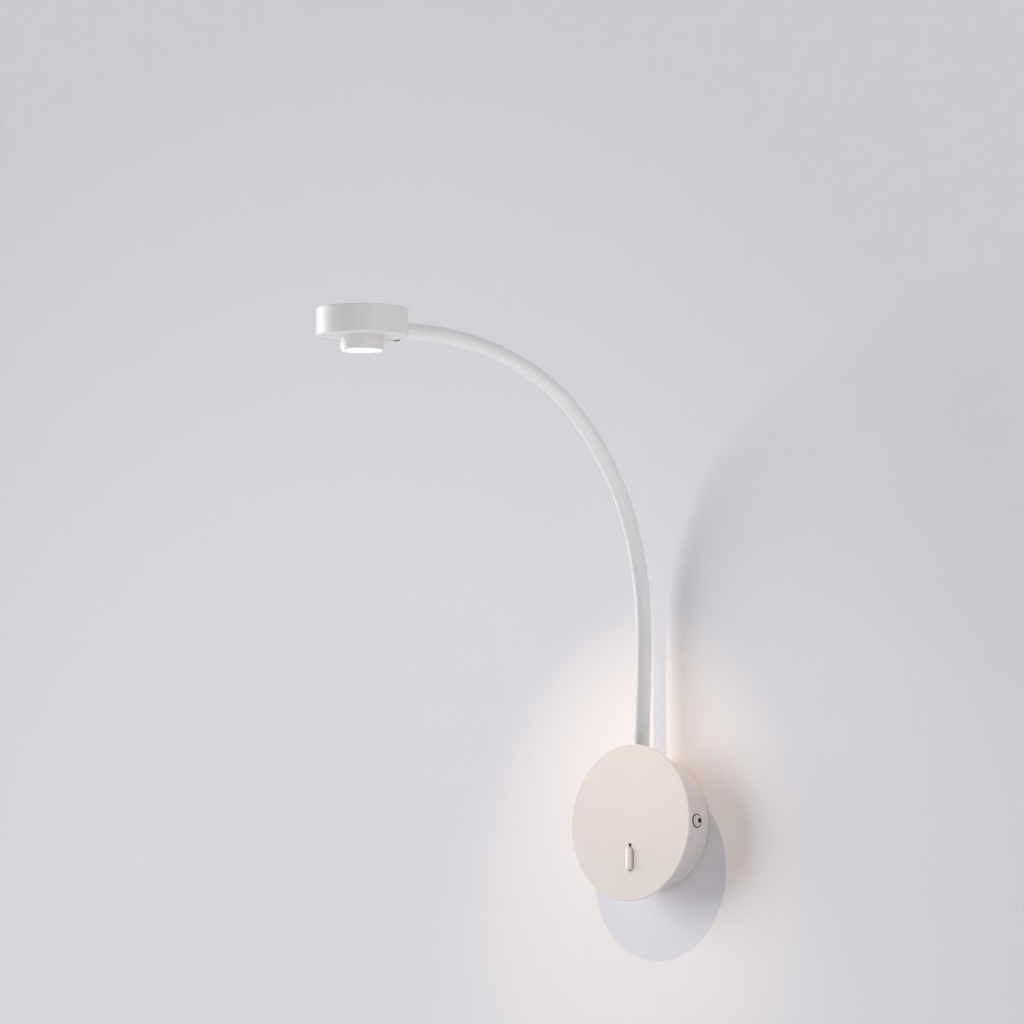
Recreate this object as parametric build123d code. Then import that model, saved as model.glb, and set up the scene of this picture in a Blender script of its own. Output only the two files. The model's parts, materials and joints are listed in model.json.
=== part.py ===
from build123d import *

import os
from math import cos, degrees, radians, sin

# Bedside wall reading lamp, in millimetres.
# The wall is the plane Y = 0, the lamp stands out of it towards -Y, and +Z is up.
# The origin is the centre of the wall plate's back face.

# ---------------------------------------------------------------- clearances
slide_gap = 0.1  # radial gap of pieces that slide into each other by hand
screw_gap = 0.2  # radial gap round a screw's shank
free_gap = 0.5  # gap between pieces that pass each other
pivot_gap = 0.05  # radial running gap of the rocker's trunnions
seat_gap = 0.25  # gap between the ball and the socket of two arm links

# ---------------------------------------------------------------- base cover
base_d = 120.0  # round front
front_t = 2.2  # thickness of the front where it passes the drum
front_back_edge = 0.5
drum_d = 100.0  # drum behind the front
cover_depth = 31.5
cover_wall = 1.8
cover_edge = 0.7

# ---------------------------------------------------------------- halo ring and its board
halo_depth = 3.0
halo_step = 1.0  # how far the ring's rim lies inside the drum's edge
halo_web = 5.0  # overlap of the ring on the wall plate
spigot_wall = 1.6
spigot_height = 2.5
led_pocket = 2.2  # depth of the light pocket behind the board
board_t = 1.0
halo_post_d = 4.8
halo_screws = 3
halo_screw_start = 30.0  # degrees from +X to the first halo screw
halo_leds = 24
led_length = 3.5
led_width = 2.8
led_height = 0.8
top_opening = 26.0  # opening of board and spigot at the arm's nut

# ---------------------------------------------------------------- wall plate
plate_inset = 5.0  # plate's rim inside the drum's edge
plate_t = 1.5
wall_slot_spacing = 54.0
wall_slot_length = 9.0
wall_slot_width = 4.5
ear_width = 14.0
ear_foot_gap = 1.0  # ear's foot inside the halo ring's web
ear_step_gap = 1.8  # ear's step in front of the halo board
ear_overlap = 5.5  # ear beyond the side screw's axis
ear_bend = 1.8  # middle radius of the ear's bends
ear_collar_t = 1.5
cable_drop = 20.0  # cable entry below the centre

# ---------------------------------------------------------------- fasteners
side_screw_d = 4.0
side_screw_rise = 11.0  # axis in front of the drum's back edge
side_head_d = 9.5
side_head_t = 2.75
side_crown_d = 4.5  # flat on top of the button head
side_crown_radius = 5.5
side_socket = 3.0
side_socket_depth = 1.6
side_engagement = 2.5  # thread beyond the ear's collar
small_screw_d = 2.5
small_head_d = 4.8
small_head_t = 1.5
small_recess = 3.2  # span of the cross recess
small_recess_depth = 0.7
recess_width = 0.7
earth_screw_d = 4.0
earth_head_d = 7.0
earth_head_t = 2.4
earth_recess = 4.6
earth_recess_depth = 1.4

# ---------------------------------------------------------------- cable entry
grommet_bore_d = 8.0
grommet_neck_d = 13.0
grommet_flange_d = 17.0
grommet_flange_t = 1.2
grommet_nose_t = 1.8

# ---------------------------------------------------------------- driver, terminals, earth
driver_length = 52.0
driver_width = 23.0
driver_height = 15.0
driver_z = 17.5
driver_edge = 1.5
driver_tab = 7.0
driver_tab_width = 9.0
driver_tab_t = 1.6
terminal_poles = 3
terminal_pitch = 7.0
terminal_width = 14.0
terminal_height = 11.5
terminal_screw_spacing = 7.0  # the two clamp screws of a pole
terminal_x = -20.0
terminal_z = -17.0
wire_hole_d = 3.4
wire_hole_depth = 7.5  # wire hole's axis behind the block's front
terminal_screw_d = 3.0
terminal_well_d = 3.6
terminal_well = 1.5
earth_x = 22.0
earth_z = -17.0
lug_t = 0.8
lug_barrel_d = 4.0
lug_barrel_length = 9.0
lug_neck = 2.6

# ---------------------------------------------------------------- switch
switch_drop = 28.0  # rocker below the cover's centre
rocker_length = 17.5
rocker_width = 7.0
rocker_proud = 2.8
rocker_edge = 1.3
rocker_side_gap = 0.3
pivot_depth = 1.7  # pivot axis behind the inside of the cover's front
trunnion_d = 1.6
trunnion_reach = 1.6  # trunnion beyond the rocker's side
rocker_back = 0.6  # rocker behind the pivot axis
rocker_swing = 6.0  # degrees to each side
housing_width = 14.0
housing_length = 25.0
housing_depth = 11.0
housing_edge = 0.8
tab_width = 4.8
tab_t = 0.8
tab_length = 5.0
tab_pitch = 10.0
tab_hole_d = 1.6
tab_hole_inset = 1.75  # hole's axis from the tab's end
dot_d = 2.4
dot_web = 0.4  # cover left between the dot and the rocker's hole
dot_recess = 0.2

# ---------------------------------------------------------------- arm
arm_d = 12.0
sleeve_wall = 1.2
hose_wall = 1.8
lead_d = 4.2
arm_y = -20.8
stub_length = 40.0
link_length = 60.0
last_length = 39.0
arm_bends = (-3.5, 4.5, 15.0, 19.0, 16.0, 19.0, 11.0, 10.0, -1.0)  # degrees of each length
ball_r = 8.0

# ---------------------------------------------------------------- arm root fixing
nipple_d = 10.0
nipple_bore_d = 4.8
nipple_length = 14.0
barb_length = 9.0
nut_flats = 14.0
nut_t = 4.0
nut_edge = 0.4
washer_d = 15.0
washer_t = 2.0
lead_tail = 5.0

# ---------------------------------------------------------------- head
head_d = 69.0
head_h = 21.0
head_top = 2.0
head_wall = 2.0
head_edge = 0.8
arm_drop = 1.6  # arm's axis below the head's middle
ferrule_d = 14.4
ferrule_length = 7.0
ferrule_overlap = 4.5  # ferrule over the end of the sleeve
spigot_length = 10.0
socket_wall = 2.4
base_plate_t = 2.0
base_plate_recess = 0.4

# ---------------------------------------------------------------- heat sink and light
sink_d = 47.0
sink_t = 3.0
collar_height = 6.6
collar_wall = 3.4
sink_bosses = 3
sink_boss_start = 30.0  # degrees from +X to the first boss
sink_boss_d = 6.4
sink_boss_inset = 4.2  # boss axis inside the heat sink's rim
fin_count = 15
fin_t = 1.2
fin_height = 5.5
fin_start = 5.0
light_board_t = 1.6
light_chip_d = 9.0
light_chip_t = 0.7

# ---------------------------------------------------------------- lens holder and lens
holder_d = 32.5
holder_h = 11.0
holder_edge = 0.5
holder_rim = 1.0
neck_d = 26.0
neck_wall = 1.6
neck_length = 6.0
lens_recess = 0.4
lens_flange_t = 2.0
lens_base_d = 26.0
lens_top_d = 13.0
lens_gap = 0.6  # lens below the light chip

# ---------------------------------------------------------------- clamp screw
clamp_screw_d = 3.0
clamp_head_d = 5.5
clamp_head_t = 1.4
clamp_edge = 0.35
clamp_inset = 0.25  # gap between the clamp screw's head and the shell's wall

# ---------------------------------------------------------------- places worked out from the sizes
base_r = base_d / 2
drum_r = drum_d / 2
plate_r = drum_r - plate_inset
arm_r = arm_d / 2
head_r = head_d / 2
cover_inner_r = drum_r - cover_wall
cover_back_y = -halo_depth
cover_front_y = cover_back_y - cover_depth
front_inside_y = cover_front_y + cover_wall
side_screw_y = cover_back_y - side_screw_rise
pivot_y = front_inside_y + pivot_depth
rocker_front_y = cover_front_y - rocker_proud
rocker_back_y = pivot_y + rocker_back
rocker_lift = rocker_length / 2 * sin(radians(rocker_swing))
rocker_end_gap = (pivot_depth + cover_wall) * sin(radians(rocker_swing)) + slide_gap
pocket_floor_y = rocker_back_y + rocker_lift + free_gap
rocker_hole_length = rocker_length + 2 * rocker_end_gap
rocker_hole_width = rocker_width + 2 * rocker_side_gap
dot_z = rocker_hole_length / 2 + dot_web + dot_d / 2 - switch_drop
housing_back_y = front_inside_y + housing_depth
board_back_y = cover_back_y - led_pocket
board_front_y = board_back_y - board_t
halo_band_r = drum_r - halo_step
halo_web_r = plate_r - halo_web
halo_spigot_r = cover_inner_r - slide_gap
halo_pocket_r = halo_spigot_r - spigot_wall
halo_board_r = halo_pocket_r - slide_gap
halo_screw_r = plate_r - halo_post_d / 2 + screw_gap
halo_led_r = (halo_board_r + halo_web_r) / 2
ear_foot_x = halo_web_r - ear_foot_gap
ear_step_y = board_front_y - ear_step_gap - plate_t
ear_outer_x = cover_inner_r - free_gap - ear_width * ear_width / (8 * cover_inner_r)
sleeve_inner_r = arm_r - sleeve_wall
hose_r = sleeve_inner_r - slide_gap
hose_inner_r = hose_r - hose_wall
lead_r = lead_d / 2
barb_r = hose_inner_r - slide_gap
nipple_r = nipple_d / 2
arm_lengths = (stub_length,) + (link_length,) * (len(arm_bends) - 2) + (last_length,)
arm_length = sum(arm_lengths)
last_link = len(arm_lengths) - 1
sleeve_end = last_length - ferrule_length + ferrule_overlap
head_bottom = arm_drop - head_h / 2
head_ceiling = head_bottom + head_h - head_top
base_plate_z = head_bottom + base_plate_recess
base_plate_top = base_plate_z + base_plate_t
sink_z = base_plate_top + collar_height
sink_top = sink_z + sink_t
sink_r = sink_d / 2
sink_boss_r = sink_r - sink_boss_inset
neck_r = neck_d / 2
light_board_z = sink_z - light_board_t
light_chip_z = light_board_z - light_chip_t
lens_face_z = base_plate_z - holder_h + lens_recess
lens_shoulder_z = lens_face_z + lens_flange_t
clamp_r = head_r - head_wall - clamp_head_d / 2 - clamp_inset


# ---------------------------------------------------------------- plain forms
def disc_y(radius, y_back, y_front, x=0.0, z=0.0):
    """Cylinder along Y between two depths."""
    length = y_back - y_front
    return Pos(x, (y_back + y_front) / 2, z) * Rot(90, 0, 0) * Cylinder(radius, length)


def disc_z(radius, z_low, z_high, x=0.0, y=0.0):
    """Cylinder along Z between two heights."""
    return Pos(x, y, (z_low + z_high) / 2) * Cylinder(radius, z_high - z_low)


def disc_x(radius, x_low, x_high, y=0.0, z=0.0):
    """Cylinder along X between two places."""
    return Pos((x_low + x_high) / 2, y, z) * Rot(0, 90, 0) * Cylinder(radius, x_high - x_low)


def block(x_low, x_high, y_front, y_back, z_low, z_high):
    """Box between two corners."""
    size = (x_high - x_low, y_back - y_front, z_high - z_low)
    centre = ((x_low + x_high) / 2, (y_front + y_back) / 2, (z_low + z_high) / 2)
    return Pos(*centre) * Box(*size)


def pill_y(length, width, y_back, y_front, z=0.0):
    """Upright slot form, rounded at both ends, between two depths."""
    outline = Plane.XZ * SlotOverall(length, width, rotation=90)
    return Pos(0, y_back, z) * extrude(outline, amount=y_back - y_front)


def turned_y(points):
    """Solid turned about Y from (radius, y) points."""
    return revolve(make_face(Polyline(*points, close=True)), Axis.Y)


def turned_z(points):
    """Solid turned about Z from (radius, z) points."""
    return revolve(Plane.XZ * make_face(Polyline(*points, close=True)), Axis.Z)


def pan_screw(head_d, head_t, shank_d, length, recess, recess_depth):
    """Pan-head screw along Z: head above the origin, shank below it, with a cross recess."""
    head = disc_z(head_d / 2, 0, head_t)
    head = chamfer(head.edges().group_by(Axis.Z)[-1], head_t / 3)
    recess_z = head_t - recess_depth
    bar = block(-recess / 2, recess / 2, -recess_width / 2, recess_width / 2, recess_z, head_t)
    head -= bar
    head -= Rot(0, 0, 90) * bar
    return head + disc_z(shank_d / 2, -length, 0)


def small_screw(length):
    """The screw that holds the driver, the halo board and the heat sink."""
    return pan_screw(small_head_d, small_head_t, small_screw_d, length, small_recess, small_recess_depth)


def facing_front(x, y, z):
    """Place whose own +Z looks out of the wall."""
    return Pos(x, y, z) * Rot(90, 0, 0)


def round_the_base(radius, angle):
    """The (x, z) of a point at a radius and an angle from +X."""
    return radius * cos(radians(angle)), radius * sin(radians(angle))


def halo_screw_places():
    """The (x, z) of each halo screw."""
    step = 360 / halo_screws
    return [round_the_base(halo_screw_r, halo_screw_start + step * n) for n in range(halo_screws)]


def opening_at_top(radius_low, radius_high, y_back, y_front):
    """Block that clears the arm's nut at the top of the base."""
    half = top_opening / 2
    return block(-half, half, y_front, y_back, radius_low - half, radius_high + free_gap)


# ---------------------------------------------------------------- wall plate, halo ring, cable entry
def make_wall_plate():
    plate = disc_y(plate_r, 0, -plate_t)
    ear_x = ear_outer_x - plate_t / 2
    foot_x = ear_foot_x - plate_t / 2
    step_y = ear_step_y + plate_t / 2
    run = [
        (foot_x - 3 * ear_bend, -plate_t / 2),
        (foot_x, -plate_t / 2),
        (foot_x, step_y),
        (ear_x, step_y),
        (ear_x, side_screw_y - ear_overlap),
    ]
    strip = trace(FilletPolyline(*run, radius=ear_bend), plate_t)
    ear = Pos(0, 0, -ear_width / 2) * extrude(strip, amount=ear_width)
    collar_x = ear_x - plate_t / 2
    ear += disc_x(side_screw_d, collar_x - ear_collar_t, collar_x, side_screw_y)
    ear -= disc_x(side_screw_d / 2, collar_x - 2 * ear_collar_t, drum_r, side_screw_y)
    notch_z = ear_width / 2 + free_gap
    for side in (1, -1):
        edge = sorted((side * (foot_x - ear_bend), side * drum_r))
        plate -= block(*edge, -2 * plate_t, plate_t, -notch_z, notch_z)
        plate += ear if side == 1 else mirror(ear, about=Plane.YZ)
        slot = SlotOverall(wall_slot_length, wall_slot_width)
        cut = extrude(Plane.XZ * Pos(side * wall_slot_spacing / 2, 0) * slot, amount=plate_t)
        plate -= cut
    plate -= disc_y(grommet_neck_d / 2, plate_t, -2 * plate_t, 0, -cable_drop)
    plate -= disc_y(earth_screw_d / 2, plate_t, -2 * plate_t, earth_x, earth_z)
    for x, z in halo_screw_places() + driver_screw_places():
        plate -= disc_y(small_screw_d / 2, plate_t, -2 * plate_t, x, z)
    return plate


def make_halo_ring():
    band_inner_r = plate_r + slide_gap
    section = [
        (halo_web_r, -plate_t),
        (band_inner_r, -plate_t),
        (band_inner_r, 0),
        (halo_band_r, 0),
        (halo_band_r, cover_back_y),
        (halo_spigot_r, cover_back_y),
        (halo_spigot_r, cover_back_y - spigot_height),
        (halo_pocket_r, cover_back_y - spigot_height),
        (halo_pocket_r, cover_back_y),
        (halo_web_r, cover_back_y),
    ]
    ring = turned_y(section)
    ring -= opening_at_top(halo_web_r, drum_r, cover_back_y, cover_back_y - spigot_height)
    for x, z in halo_screw_places():
        ring += disc_y(halo_post_d / 2, cover_back_y, board_back_y, x, z)
        ring -= disc_y(small_screw_d / 2 + screw_gap, 0, board_front_y, x, z)
    return ring


def make_halo_board():
    board = disc_y(halo_board_r, board_back_y, board_front_y)
    board -= disc_y(halo_web_r, board_back_y, board_front_y)
    board -= opening_at_top(halo_web_r, drum_r, board_back_y, board_front_y)
    for x, z in halo_screw_places():
        board -= disc_y(small_screw_d / 2 + screw_gap, board_back_y, board_front_y, x, z)
    return board


def make_halo_leds():
    chips = []
    for n in range(halo_leds):
        angle = (n + 0.5) * 360 / halo_leds
        x, z = round_the_base(halo_led_r, angle)
        if z > 0 and abs(x) < (top_opening + led_length) / 2 + free_gap:
            continue
        chip = Box(led_width, led_height, led_length)
        chips.append(Pos(x, board_back_y + led_height / 2, z) * Rot(0, -angle, 0) * chip)
    return Compound(children=[chip.solid() for chip in chips])


def make_halo_screws():
    length = -board_front_y - screw_gap
    screws = [facing_front(x, board_front_y, z) * small_screw(length) for x, z in halo_screw_places()]
    return Compound(children=[screw.solid() for screw in screws])


def make_cable_grommet():
    flange_y = -plate_t - grommet_flange_t
    nose_y = flange_y - grommet_nose_t
    neck_r = grommet_neck_d / 2 - slide_gap
    bore_r = grommet_bore_d / 2
    nose_r = (bore_r + neck_r) / 2
    section = [
        (bore_r, 0),
        (neck_r, 0),
        (neck_r, -plate_t),
        (grommet_flange_d / 2, -plate_t),
        (grommet_flange_d / 2, flange_y),
        (neck_r, flange_y),
        (nose_r, nose_y),
        (bore_r, nose_y),
    ]
    return Pos(0, 0, -cable_drop) * turned_y(section)


# ---------------------------------------------------------------- cover and its side screws
def make_base_cover():
    front_back_y = cover_front_y + front_t
    cover = disc_y(base_r, front_back_y, cover_front_y)
    cover = fillet(cover.edges().group_by(Axis.Y)[0], cover_edge)
    cover = chamfer(cover.edges().group_by(Axis.Y)[-1], front_back_edge)
    cover += disc_y(drum_r, cover_back_y, front_back_y)
    cover -= disc_y(cover_inner_r, cover_back_y, front_inside_y)
    cover -= pill_y(rocker_hole_length, rocker_hole_width, front_inside_y, cover_front_y, -switch_drop)
    cover -= disc_y(dot_d / 2, front_inside_y, cover_front_y, 0, dot_z)
    cover -= disc_z(nipple_r + slide_gap, cover_inner_r / 2, drum_r, 0, arm_y)
    side_hole_r = side_screw_d / 2 + screw_gap
    cover -= disc_x(side_hole_r, -drum_r, drum_r, side_screw_y)
    return cover


def make_side_screws():
    rim = (side_head_d / 2, 0)
    crown = (side_crown_d / 2, side_head_t)
    outline = RadiusArc(rim, crown, -side_crown_radius)
    outline += Polyline(crown, (0, side_head_t), (0, 0), rim)
    head = revolve(Plane.XZ * make_face(outline), Axis.Z)
    socket = extrude(RegularPolygon(side_socket / 2, 6, major_radius=False), amount=side_socket_depth)
    head -= Pos(0, 0, side_head_t - side_socket_depth) * socket
    tip = ear_outer_x - plate_t - ear_collar_t - side_engagement
    screw = head + disc_z(side_screw_d / 2 - slide_gap, tip - drum_r, 0)
    right = Pos(drum_r, side_screw_y, 0) * Rot(0, 90, 0) * screw
    left = Pos(-drum_r, side_screw_y, 0) * Rot(0, -90, 0) * screw
    return Compound(children=[right.solid(), left.solid()])


# ---------------------------------------------------------------- driver, terminals and earth
def driver_screw_places():
    """The (x, z) of the two driver screws."""
    reach = (driver_length + driver_tab) / 2
    return [(reach, driver_z), (-reach, driver_z)]


def make_driver_case():
    half = driver_length / 2
    low = driver_z - driver_width / 2
    high = driver_z + driver_width / 2
    case = block(-half, half, -plate_t - driver_height, -plate_t, low, high)
    case = fillet(case.edges().filter_by(Axis.Y), driver_edge)
    case = chamfer(case.edges().group_by(Axis.Y)[0], driver_edge / 2)
    tab_reach = half + driver_tab
    tab = SlotOverall(2 * tab_reach, driver_tab_width)
    case += Pos(0, -plate_t, driver_z) * extrude(Plane.XZ * tab, amount=driver_tab_t)
    for x, z in driver_screw_places():
        case -= disc_y(small_screw_d / 2 + screw_gap, 0, -plate_t - 2 * driver_tab_t, x, z)
    return case


def make_driver_screws():
    seat_y = -plate_t - driver_tab_t
    screw = small_screw(-seat_y - screw_gap)
    screws = [facing_front(x, seat_y, z) * screw for x, z in driver_screw_places()]
    return Compound(children=[screw.solid() for screw in screws])


def terminal_columns():
    """The x of each pole of the terminal block."""
    first = terminal_x - (terminal_poles - 1) / 2 * terminal_pitch
    return [first + pole * terminal_pitch for pole in range(terminal_poles)]


def terminal_places():
    """The (x, z) of each clamp screw of the terminal block."""
    rise = terminal_screw_spacing / 2
    return [(x, terminal_z + side * rise) for x in terminal_columns() for side in (1, -1)]


def make_terminal_block():
    half = terminal_poles * terminal_pitch / 2
    front = -plate_t - terminal_height
    low = terminal_z - terminal_width / 2
    high = terminal_z + terminal_width / 2
    body = block(terminal_x - half, terminal_x + half, front, -plate_t, low, high)
    body = chamfer(body.edges().group_by(Axis.Y)[0].filter_by(Axis.X), driver_edge)
    wire_y = front + wire_hole_depth
    for x in terminal_columns():
        body -= disc_z(wire_hole_d / 2, low, high, x, wire_y)
    for x, z in terminal_places():
        body -= disc_y(terminal_well_d / 2, front + terminal_well, front, x, z)
        body -= disc_y(terminal_screw_d / 2, wire_y, front, x, z)
    return body


def make_terminal_screws():
    seat = -plate_t - terminal_height + terminal_well
    tip = seat - terminal_well + wire_hole_depth - wire_hole_d / 2
    half_span = terminal_screw_d / 2
    screws = []
    for x, z in terminal_places():
        screw = disc_y(half_span, tip, seat, x, z)
        low = z - recess_width / 2
        screw -= block(x - half_span, x + half_span, seat, seat + recess_width, low, low + recess_width)
        screws.append(screw.solid())
    return Compound(children=screws)


def make_earth_lug():
    lug = disc_y(earth_head_d / 2, -plate_t, -plate_t - lug_t, earth_x, earth_z)
    barrel_top = earth_z - earth_head_d / 2
    barrel_low = barrel_top - lug_barrel_length
    barrel_y = -plate_t - lug_barrel_d / 2
    neck_low = earth_x - lug_neck / 2
    lug += block(neck_low, neck_low + lug_neck, -plate_t - lug_t, -plate_t, barrel_top - lug_t, earth_z)
    lug += disc_z(lug_barrel_d / 2, barrel_low, barrel_top, earth_x, barrel_y)
    lug -= disc_z(lug_barrel_d / 2 - lug_t, barrel_low, barrel_top - lug_t, earth_x, barrel_y)
    return lug - disc_y(earth_screw_d / 2 + screw_gap, 0, -plate_t - lug_t, earth_x, earth_z)


def make_earth_screw():
    seat_y = -plate_t - lug_t
    shank_d = earth_screw_d - 2 * slide_gap
    length = -seat_y - screw_gap
    screw = pan_screw(earth_head_d, earth_head_t, shank_d, length, earth_recess, earth_recess_depth)
    return facing_front(earth_x, seat_y, earth_z) * screw


# ---------------------------------------------------------------- switch
def make_rocker():
    body = pill_y(rocker_length, rocker_width, rocker_back_y, rocker_front_y)
    body = fillet(body.edges().group_by(Axis.Y)[0], rocker_edge)
    reach = rocker_width / 2 + trunnion_reach
    body += disc_x(trunnion_d / 2, -reach, reach, pivot_y)
    return Pos(0, 0, -switch_drop) * body


def make_switch_housing():
    half_width = housing_width / 2
    half_length = housing_length / 2
    body = block(-half_width, half_width, front_inside_y, housing_back_y, -half_length, half_length)
    body = fillet(body.edges().filter_by(Axis.Y), housing_edge)
    body -= pill_y(rocker_hole_length, rocker_hole_width, pocket_floor_y, front_inside_y)
    bore_reach = rocker_width / 2 + trunnion_reach + free_gap
    body -= disc_x(trunnion_d / 2 + pivot_gap, -bore_reach, bore_reach, pivot_y)
    return Pos(0, 0, -switch_drop) * body


def make_switch_tabs():
    end_y = housing_back_y + tab_length
    tab = block(-tab_width / 2, tab_width / 2, housing_back_y, end_y, -tab_t / 2, tab_t / 2)
    tab -= disc_z(tab_hole_d / 2, -tab_t, tab_t, 0, end_y - tab_hole_inset)
    places = (-tab_pitch / 2, 0, tab_pitch / 2)
    return Compound(children=[(Pos(0, 0, z - switch_drop) * tab).solid() for z in places])


def make_switch_dot():
    return disc_y(dot_d / 2 - slide_gap, front_inside_y, cover_front_y + dot_recess, 0, dot_z)


# ---------------------------------------------------------------- gooseneck arm
def on_link(index, run):
    """The (y, z, lean) on the arc of one length of the arm, a way from its lower end.

    Lean is from +Z to -Y. The way may run past the length's upper end, on the same arc.
    """
    y, z, lean = link_starts[index]
    turn = radians(arm_bends[index]) * run / arm_lengths[index]
    chord = run if turn == 0 else 2 * run / turn * sin(turn / 2)
    return y - chord * sin(lean + turn / 2), z + chord * cos(lean + turn / 2), lean + turn


link_starts = [(arm_y, drum_r, 0.0)]
for index, length in enumerate(arm_lengths):
    link_starts.append(on_link(index, length))


def link_point(index, run):
    """Point on the middle line of one length of the arm."""
    y, z, _ = on_link(index, run)
    return (0, y, z)


def arm_rod(index, start, end, radius):
    """Round rod along one length of the arm."""
    if arm_bends[index] == 0:
        path = Line(link_point(index, start), link_point(index, end))
    else:
        middle = link_point(index, (start + end) / 2)
        path = ThreePointArc(link_point(index, start), middle, link_point(index, end))
    section = Plane(link_point(index, start), z_dir=path % 0) * Circle(radius)
    return sweep(section, path=path)


def arm_ball(index, radius):
    """Ball round the hinge at the lower end of one length of the arm."""
    return Pos(*link_point(index, 0)) * Sphere(radius)


def arm_piece(index, radius, bore=0.0, end=sleeve_end):
    """One length of a tube of the arm, with a socket at its lower end and a ball at its upper end."""
    if index == last_link:
        piece = arm_rod(index, 0, end, radius)
        bore_end = end
    else:
        bore_end = arm_lengths[index] + ball_r
        piece = arm_rod(index, 0, arm_lengths[index], radius)
        piece += arm_rod(index, 0, bore_end, radius) & arm_ball(index + 1, ball_r)
    if index > 0:
        piece -= arm_ball(index, ball_r + seat_gap)
    if bore:
        piece -= arm_rod(index, 0, bore_end, bore)
    return piece


def make_arm_sleeve(index):
    sleeve = arm_piece(index, arm_r, sleeve_inner_r)
    if index == 0:
        saddle = disc_z(arm_r, cover_inner_r, drum_r, 0, arm_y)
        saddle -= disc_z(nipple_r + free_gap, cover_inner_r, drum_r, 0, arm_y)
        sleeve += saddle - disc_y(drum_r, 0, cover_front_y)
    return sleeve


def make_arm_hose(index):
    return arm_piece(index, hose_r, hose_inner_r)


def make_arm_lead(index):
    lead = arm_piece(index, lead_r, end=last_length)
    if index == 0:
        tail = drum_r - nipple_length - lead_tail
        lead += disc_z(lead_r, tail, drum_r, 0, arm_y)
    if index == last_link:
        lead += at_arm_end(rod_inward(lead_r, 0, head_r - sink_r - free_gap))
    return lead


def make_arm_nipple():
    nipple = disc_z(nipple_r, drum_r - nipple_length, drum_r, 0, arm_y)
    nipple += disc_z(barb_r, drum_r, drum_r + barb_length, 0, arm_y)
    bottom = drum_r - 2 * nipple_length
    return nipple - disc_z(nipple_bore_d / 2, bottom, drum_r + 2 * barb_length, 0, arm_y)


def make_arm_washer():
    low = cover_inner_r - free_gap - washer_t
    washer = disc_z(washer_d / 2, low, cover_inner_r, 0, arm_y)
    washer &= disc_y(cover_inner_r, 0, cover_front_y)
    return washer - disc_z(nipple_r + slide_gap, 0, drum_r, 0, arm_y)


def make_arm_nut():
    high = cover_inner_r - free_gap - washer_t
    nut = extrude(RegularPolygon(nut_flats / 2, 6, major_radius=False, rotation=0), amount=nut_t)
    nut = chamfer(nut.edges().group_by(Axis.Z)[0], nut_edge)
    nut = Pos(0, arm_y, high - nut_t) * nut
    return nut - disc_z(nipple_r, high - 2 * nut_t, drum_r, 0, arm_y)


# ---------------------------------------------------------------- head
# The arm's end is the origin of the head's own forms, and -Y runs away from the arm.
def at_arm_end(shape):
    """Moves a form from the head's own place to the end of the arm."""
    y, z, lean = link_starts[-1]
    return Pos(0, y, z) * Rot(degrees(lean) - 90, 0, 0) * shape


def rod_inward(radius, start, end):
    """Cylinder on the arm's axis, measured from the head's rim inwards."""
    return disc_y(radius, -start, -end)


def in_head(shape):
    """Moves a form from the head's centre line to the arm's end."""
    return Pos(0, -head_r, 0) * shape


def sink_boss_places():
    """The (x, y) of the heat sink's bosses."""
    step = 360 / sink_bosses
    return [round_the_base(sink_boss_r, sink_boss_start + step * n) for n in range(sink_bosses)]


def make_head_ferrule():
    mouth = -ferrule_length
    floor = mouth + ferrule_overlap
    ferrule = rod_inward(ferrule_d / 2, mouth, head_wall) - in_head(disc_z(head_r, -head_h, head_h))
    ferrule -= rod_inward(arm_r + slide_gap, mouth, floor)
    ferrule += rod_inward(nipple_r, floor, spigot_length)
    ferrule += rod_inward(barb_r, floor - barb_length, floor)
    return at_arm_end(ferrule - rod_inward(nipple_bore_d / 2, floor - barb_length, spigot_length))


def make_head_shell():
    shell = disc_z(head_r, head_bottom, head_bottom + head_h)
    shell = fillet(shell.edges().filter_by(GeomType.CIRCLE), head_edge)
    shell -= disc_z(head_r - head_wall, head_bottom, head_ceiling)
    inner_end = head_r - spigot_length
    socket_r = nipple_r + socket_wall
    socket = disc_y(socket_r, head_r - head_wall / 2, inner_end)
    socket &= block(-head_r, head_r, 0, head_r, base_plate_top, head_ceiling)
    shell += socket
    shell -= disc_y(nipple_r + slide_gap, head_r, inner_end)
    shell -= disc_z(clamp_screw_d / 2, base_plate_top, 0, 0, clamp_r)
    for x, y in sink_boss_places():
        shell += disc_z(sink_boss_d / 2, sink_top, head_ceiling, x, y)
        shell -= disc_z(small_screw_d / 2, sink_top, head_ceiling, x, y)
    return at_arm_end(in_head(shell))


def make_head_base_plate():
    plate = disc_z(head_r - head_wall - slide_gap, base_plate_z, base_plate_top)
    plate -= disc_z(neck_r + slide_gap, base_plate_z, base_plate_top)
    plate -= disc_z(clamp_screw_d / 2 + screw_gap, base_plate_z, base_plate_top, 0, clamp_r)
    return at_arm_end(in_head(plate))


def make_clamp_screw():
    head = disc_z(clamp_head_d / 2, base_plate_z - clamp_head_t, base_plate_z)
    head = fillet(head.edges().group_by(Axis.Z)[0], clamp_edge)
    slot_low = base_plate_z - clamp_head_t
    slot_reach = clamp_head_d / 2
    slot_half = recess_width / 2
    head -= block(-slot_reach, slot_reach, -slot_half, slot_half, slot_low, slot_low + small_recess_depth)
    screw = head + disc_z(clamp_screw_d / 2 - slide_gap, base_plate_z, -nipple_r)
    return at_arm_end(in_head(Pos(0, clamp_r, 0) * screw))


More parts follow.
